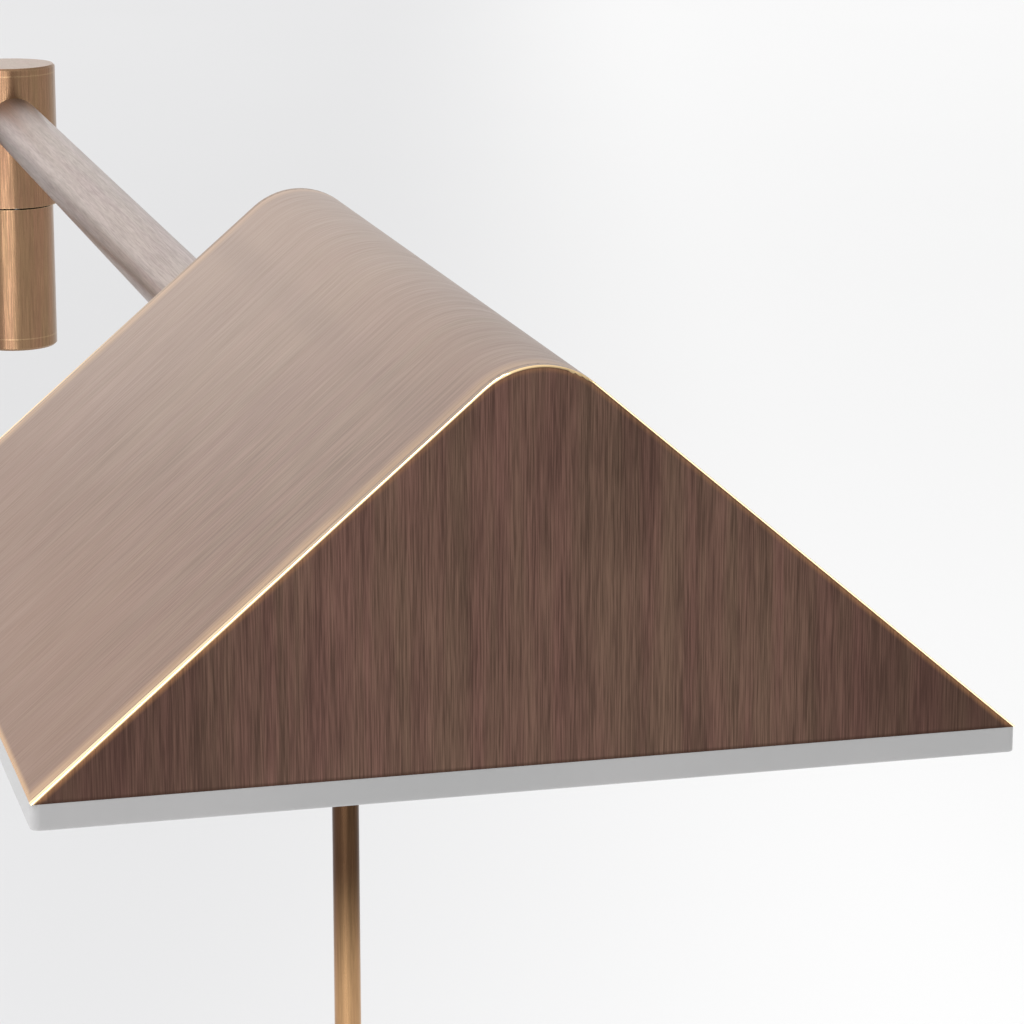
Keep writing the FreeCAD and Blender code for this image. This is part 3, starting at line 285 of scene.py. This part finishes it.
def rim_distance(graph, across, height):
    """Distance inside the tent outline's two slopes and the fold between them."""
    fold_height = SHADE_HALF * math.tan(SLOPE) - FOLD_RADIUS / math.cos(SLOPE)
    up = graph.minus(height, fold_height)
    aside = graph.size(across)
    slope = graph.blend((math.sin(SLOPE), aside), (math.cos(SLOPE), up))
    fold = graph.math("SQRT", graph.plus(graph.times(aside, aside), graph.times(up, up)))
    on_fold = graph.math("LESS_THAN", aside, graph.times(up, math.tan(SLOPE)))
    reach = graph.plus(graph.times(on_fold, fold), graph.times(graph.minus(1.0, on_fold), slope))
    return graph.minus(FOLD_RADIUS, reach)


def end_plate_brass():
    """The end plates: upright brushing inside a polished rounded edge. Their dark tone, the darker lower
    tips and the dark line along the base are painted shade; the rim's gold, brighter towards the bottom,
    is wear and a painted highlight.
    """
    graph = Graph("brass_end_plate")
    # Dark browns: painted shade for the flat face's dim reflection, on the same brass as the roof.
    patina = Patina((104, 77, 69), (101, 80, 68), 0.22)
    colour, stroke, cloud = brushed_colour(graph, "upright", patina)
    _, across, height = head_place(graph)
    aside = graph.size(across)
    # Painted shade: darker towards the plate's lower tips.
    tip_shade = graph.span(aside, 0.4 * SHADE_HALF, 0.98 * SHADE_HALF, 0.0, 0.48)
    colour = graph.mix(tip_shade, colour, linear(58, 40, 36))
    inside = rim_distance(graph, across, height)
    facing = graph.size(graph.axes(graph.normal)[0])
    # Painted highlight: the rim's band and gold grow towards the bottom, where a highlight falls; the
    # band and the arris are also real wear.
    low = graph.span(height, 44 * MM, 8 * MM)
    side = graph.span(facing, 0.45, 0.2)
    arris = graph.times(graph.span(facing, 0.98, 0.86), graph.span(facing, 0.1, 0.4))
    rim_wear_and_glint = graph.times(graph.span(inside, 1.1 * MM, 0.35 * MM), graph.span(stroke, 0.35, 0.65, 0.4, 0.7))
    rim_wear_and_glint = graph.times(rim_wear_and_glint, graph.span(low, 0.0, 1.0, 0.6, 1.0))
    colour = graph.mix(rim_wear_and_glint, colour, linear(170, 122, 84))
    # Painted shadow: a dark line along the plate's base, under the eaves.
    base = graph.span(height, 0.1 * MM, 0.6 * MM, 0.6, 0.0)
    colour = graph.mix(base, colour, linear(60, 43, 35))
    gold = graph.larger(arris, graph.times(side, low))
    # Painted highlight: the rim's upward faces turn paler brown higher up, where the highlight fades.
    plate = graph.mix(graph.times(side, graph.minus(1.0, low)), colour, linear(150, 126, 108))
    return finish_brass(graph, plate, stroke, gold, GOLD, 0.36, 0.2)


def roof_brass():
    """The folded roof: strokes down its slopes, worn beside the end plates. Browner low down and paler
    near the ridge and further back, as painted shade and light; the dark line by the fold is painted
    shade, and the worn band's glow towards the bottom is a painted highlight.
    """
    graph = Graph("brass_roof")
    patina = Patina((130, 102, 88), (128, 105, 87), 0.12)
    colour, stroke, cloud = brushed_colour(graph, "slope", patina)
    behind, across, height = head_place(graph)
    # Painted shade: browner low on the slopes.
    warm = graph.span(height, 40 * MM, 2 * MM, 0.0, 0.6)
    colour = graph.mix(warm, colour, linear(138, 104, 83))
    # Painted light: paler towards the ridge and further back.
    high_and_far = graph.plus(graph.times(height, 2.2), graph.times(behind, 0.45))
    ridge_sheen = graph.span(high_and_far, 60 * MM, 175 * MM, 0.0, 0.65)
    colour = graph.mix(ridge_sheen, colour, linear(168, 145, 130))
    # Painted shade: a faint dark line where the fold begins.
    ridge = graph.size(graph.minus(graph.size(across), FOLD_LINE))
    fold = graph.times(graph.span(ridge, 3.2 * MM, 0.4 * MM), graph.span(cloud, 0.35, 0.65, 0.04, 0.15))
    colour = graph.mix(fold, colour, linear(112, 92, 84))
    from_front = graph.minus(behind, END_GAUGE)
    from_back = graph.minus(SHADE_LENGTH - END_GAUGE, behind)
    from_end = graph.math("MINIMUM", from_front, from_back)
    seam = graph.span(from_end, 0.34 * MM, 0.1 * MM)
    colour = graph.mix(graph.times(seam, 0.6), colour, linear(96, 70, 52))
    patchy = graph.span(graph.blend((0.5, stroke), (0.5, cloud)), 0.38, 0.6, 0.55, 1.0)
    band = graph.times(graph.span(from_end, 4.2 * MM, 0.5 * MM), graph.minus(1.0, seam))
    # Painted highlight: the worn band is brighter towards the bottom.
    low = graph.span(height, 50 * MM, 4 * MM, 0.3, 0.62)
    eaves = graph.span(height, 0.6 * MM, 0.1 * MM, 0.0, 0.6)
    gold = graph.larger(graph.times(graph.times(band, low), patchy), eaves)
    return finish_brass(graph, colour, stroke, gold, linear(222, 178, 128), 0.36, 0.1)


def rod_brass():
    """The pull rod: bright at its lower end and dark above, painted light and painted shade from the
    shade overhead.
    """
    graph = Graph("brass_rod")
    # Dark and bright tones: painted shade near the shade, painted light lower down.
    dark = Patina((84, 58, 43), (79, 58, 41), 0.12)
    bright = Patina((188, 146, 108), (182, 146, 104), 0.08)
    lower, stroke, cloud = brushed_colour(graph, "upright", bright)
    upper, _, _ = brushed_colour(graph, "upright", dark)
    height = head_place(graph)[2]
    uneven = graph.plus(height, graph.times(graph.minus(cloud, 0.5), 8 * MM))
    share = graph.span(uneven, ROD_BRIGHT_FROM, ROD_DARK_FROM)
    colour = graph.mix(share, lower, upper)
    gold = graph.times(graph.edges(0.5 * MM), graph.span(cloud, 0.3, 0.6, 0.4, 0.8))
    return finish_brass(graph, colour, stroke, gold, GOLD, 0.3)


def plain_metal(name, light, dark, roughness=0.35, scale=900.0):
    """Plated or turned metal with fine mottling."""
    graph = Graph(name)
    mottle = graph.noise(graph.point, scale, 3.0, 0.6)
    broad = graph.noise(graph.point, 60.0, 2.0, 0.5)
    share = graph.blend((0.5, mottle), (0.5, broad))
    graph.set(
        Base_Color=graph.mix(graph.span(share, 0.3, 0.7), dark, light),
        Metallic=1.0,
        Roughness=graph.span(mottle, 0.3, 0.7, roughness - 0.06, roughness + 0.08),
        Normal=graph.bump(mottle, 0.2, 0.02 * MM),
    )
    return graph.material


def moulded(name, light, dark, roughness=0.5, scale=2600.0, bump=0.25):
    """Plastic or rubber with a fine moulded skin."""
    graph = Graph(name)
    skin = graph.noise(graph.point, scale, 2.0, 0.5)
    broad = graph.noise(graph.point, 45.0, 2.0, 0.5)
    graph.set(
        Base_Color=graph.mix(graph.span(broad, 0.35, 0.65), dark, light),
        Roughness=graph.span(skin, 0.3, 0.7, roughness - 0.05, roughness + 0.05),
        Normal=graph.bump(skin, bump, 0.02 * MM),
    )
    return graph.material


def opal():
    """Opal acrylic: white, softly lit from within its thickness, with a faint satin grain."""
    graph = Graph("opal_acrylic")
    grain = graph.noise(graph.point, 3200.0, 2.0, 0.5)
    broad = graph.noise(graph.point, 22.0, 2.0, 0.5)
    graph.set(
        Base_Color=graph.mix(graph.span(broad, 0.3, 0.7), linear(172, 172, 172), linear(179, 178, 178)),
        Roughness=graph.span(grain, 0.3, 0.7, 0.42, 0.52),
        Specular_IOR_Level=0.3,
        Subsurface_Weight=0.3,
        Subsurface_Radius=(1.0, 1.0, 1.0),
        Subsurface_Scale=1.2 * MM,
        Normal=graph.bump(grain, 0.1, 0.01 * MM),
    )
    return graph.material


def build_materials():
    # The arm and hub are the same brass as the roof: the arm's paler tone is painted light, the hub's
    # darker tone painted shade.
    arm = Patina((156, 135, 129), (153, 137, 127), 0.09)
    hub = Patina((148, 112, 89), (142, 114, 86), 0.09)
    spun = Patina((160, 134, 120), (156, 138, 120), 0.06)
    return {
        "roof": roof_brass(),
        "plate": end_plate_brass(),
        "arm": brushed_brass("brass_along", "along_x", arm),
        "hub": brushed_brass("brass_upright", "upright", hub, 0.28, 0.4 * MM, 0.2),
        "rod": rod_brass(),
        "stub": brushed_brass("brass_stub", "along_y", spun),
        "spun": brushed_brass("brass_spun", "spun", spun),
        "raw": plain_metal("raw_brass", linear(224, 186, 118), linear(190, 150, 88), 0.3),
        "steel": plain_metal("zinc_plate", linear(200, 202, 204), linear(150, 152, 155), 0.32),
        "aluminium": plain_metal(
            "mill_aluminium", linear(205, 206, 208), linear(168, 170, 172), 0.42, 500.0
        ),
        "opal": opal(),
        "board": moulded("white_board", linear(232, 232, 226), linear(220, 221, 214), 0.4),
        "phosphor": moulded("phosphor", linear(228, 206, 96), linear(214, 188, 70), 0.35),
        "black": moulded("black_plastic", linear(34, 34, 35), linear(22, 22, 23), 0.45),
        "white": moulded("white_plastic", linear(224, 222, 214), linear(212, 209, 200), 0.42),
        "rubber": moulded("black_rubber", linear(36, 35, 34), linear(24, 24, 24), 0.7),
        "pad": moulded("grey_pad", linear(120, 123, 128), linear(100, 103, 108), 0.75),
        "sheath": moulded("lead_sheath", linear(206, 202, 190), linear(190, 186, 174), 0.5),
    }


LOOKS = {
    "roof": ["roof_shell"],
    "plate": ["front_end_plate", "rear_end_plate"],
    "arm": ["arm_tube"],
    "hub": ["upper_barrel", "top_cap", "lower_barrel", "bottom_cap"],
    "rod": ["pull_rod", "rod_knob", "rod_bush"],
    "stub": ["stub_tube"],
    "spun": ["wall_canopy", "cap_nuts", "stub_collar"],
    "raw": [
        "corner_tabs", "rod_bush_nut", "stub_nipple", "arm_nipple", "stub_nut", "swivel_nut",
        "earth_screw", "diffuser_screws",
    ],
    "steel": [
        "turn_stops", "stop_washer", "swivel_spring", "spindle", "spindle_nut", "spring_washer",
        "stop_pin", "rod_head", "return_spring", "mounting_plate", "canopy_studs", "driver_screws",
        "terminal_screw", "board_screws", "switch_screws",
    ],
    "aluminium": ["led_tray"],
    "opal": ["diffuser"],
    "board": ["led_board"],
    "phosphor": ["led_chips"],
    "black": [
        "switch_body", "swivel_bush", "inner_washer", "pivot_bush", "friction_washer", "led_driver",
    ],
    "white": ["terminal_block"],
    "rubber": ["wire_grommet"],
    "pad": ["thermal_pads"],
    "sheath": ["driver_lead", "stub_lead", "arm_lead", "head_lead", "led_lead"],
}


def dress_frame(looks):
    for look, names in LOOKS.items():
        for name in names:
            slots = NODES[name].data.materials
            slots.clear()
            slots.append(looks[look])


# ---------------------------------------------------------------- stage and light

FLOOR_HEIGHT = -0.42        # well below the rod's knob
FLOOR_HALF = 30.0
RIGHTWARD = (-0.255, -0.967)    # to the camera's right, where the floor is painted paler as painted light


def make_stage():
    mesh = bpy.data.meshes.new("floor")
    half = FLOOR_HALF
    corners = [(-half, -half), (half, -half), (half, half), (-half, half)]
    mesh.from_pydata([(x, y, FLOOR_HEIGHT) for x, y in corners], [], [(0, 1, 2, 3)])
    floor = bpy.data.objects.new("floor", mesh)
    bpy.context.scene.collection.objects.link(floor)
    graph = Graph("floor")
    mottle = graph.noise(graph.point, 3.0, 2.0, 0.5)
    x, y, _ = graph.axes()
    # Painted light: the floor grows paler to the camera's right and further away.
    side = graph.span(graph.blend((RIGHTWARD[0], x), (RIGHTWARD[1], y)), 0.0, 0.44)
    share = graph.blend((0.06, mottle), (0.94, side))
    near = graph.mix(share, linear(216, 216, 217), linear(240, 240, 240))
    far = graph.mix(share, linear(234, 234, 235), linear(254, 254, 254))
    graph.set(Base_Color=graph.mix(graph.span(x, 0.3, 4.5), near, far), Roughness=0.9)
    clear = graph.tree.nodes.new("ShaderNodeBsdfTransparent")
    behind = graph.tree.nodes.new("ShaderNodeNewGeometry").outputs["Backfacing"]
    choose = graph.tree.nodes.new("ShaderNodeMixShader")
    graph.put(choose.inputs[0], behind)
    graph.put(choose.inputs[1], graph.shader.outputs[0])
    graph.put(choose.inputs[2], clear.outputs[0])
    output = next(n for n in graph.tree.nodes if n.type == "OUTPUT_MATERIAL")
    graph.put(output.inputs[0], choose.outputs[0])
    mesh.materials.append(graph.material)


BRIGHT_TOWARDS = (0.45, 0.85, 0.28)
DIM_BELOW = -0.8            # cosines of the angle to that direction
BRIGHT_ABOVE = 0.7
DIM_SIDE = 0.4              # strengths of the world's light
BRIGHT_SIDE = 1.25


def make_world():
    """A plain white room, dimmer on the side that the front of the shade faces."""
    world = bpy.data.worlds.new("studio")
    world.use_nodes = True
    bpy.context.scene.world = world
    tree = world.node_tree
    background = tree.nodes["Background"]
    direction = tree.nodes.new("ShaderNodeTexCoord").outputs["Generated"]
    towards = tree.nodes.new("ShaderNodeVectorMath")
    towards.operation = "DOT_PRODUCT"
    tree.links.new(direction, towards.inputs[0])
    towards.inputs[1].default_value = BRIGHT_TOWARDS
    strength = tree.nodes.new("ShaderNodeMapRange")
    strength.interpolation_type = "SMOOTHSTEP"
    tree.links.new(towards.outputs["Value"], strength.inputs[0])
    limits = (DIM_BELOW, BRIGHT_ABOVE, DIM_SIDE, BRIGHT_SIDE)
    for index, number in enumerate(limits, start=1):
        strength.inputs[index].default_value = number
    tree.links.new(strength.outputs[0], background.inputs[1])
    background.inputs[0].default_value = (1.0, 1.0, 1.0, 1.0)


def make_light(name, place, target, size, power):
    data = bpy.data.lights.new(name, "AREA")
    data.shape = "RECTANGLE"
    data.size, data.size_y = size
    data.energy = power
    light = bpy.data.objects.new(name, data)
    bpy.context.scene.collection.objects.link(light)
    light.visible_camera = False
    light.location = place
    light.rotation_mode = "QUATERNION"
    light.rotation_quaternion = (Vector(target) - Vector(place)).to_track_quat("-Z", "Y")
    return light


LIT_POINT = FRONT_BASE + Vector((0.07, 0, 0))
LIGHTS = {      # place from the lit point, width and height, watts
    "key": ((0.0, 1.2, 1.6), (1.0, 1.0), 22.0),         # above, on the wall's side
    "side": ((-1.35, 0.68, -0.3), (1.2, 0.22), 4.0),    # low and wide, in front of the shade
    "rim": ((0.0, -1.3, 0.55), (0.9, 0.6), 4.0),        # on the room's side
}


def make_lights():
    """A key light for everything, and two weaker lights that reach only the fixture."""
    fixture = bpy.data.collections.new("fixture")
    for node in NODES.values():
        fixture.objects.link(node)
    for name, (place, size, power) in LIGHTS.items():
        light = make_light(name, LIT_POINT + Vector(place), LIT_POINT, size, power)
        if name != "key":
            light.light_linking.receiver_collection = fixture


# ---------------------------------------------------------------- the whole scene

bpy.context.scene.view_settings.view_transform = "Standard"
make_camera()
dress_frame(build_materials())
make_stage()
make_world()
make_lights()
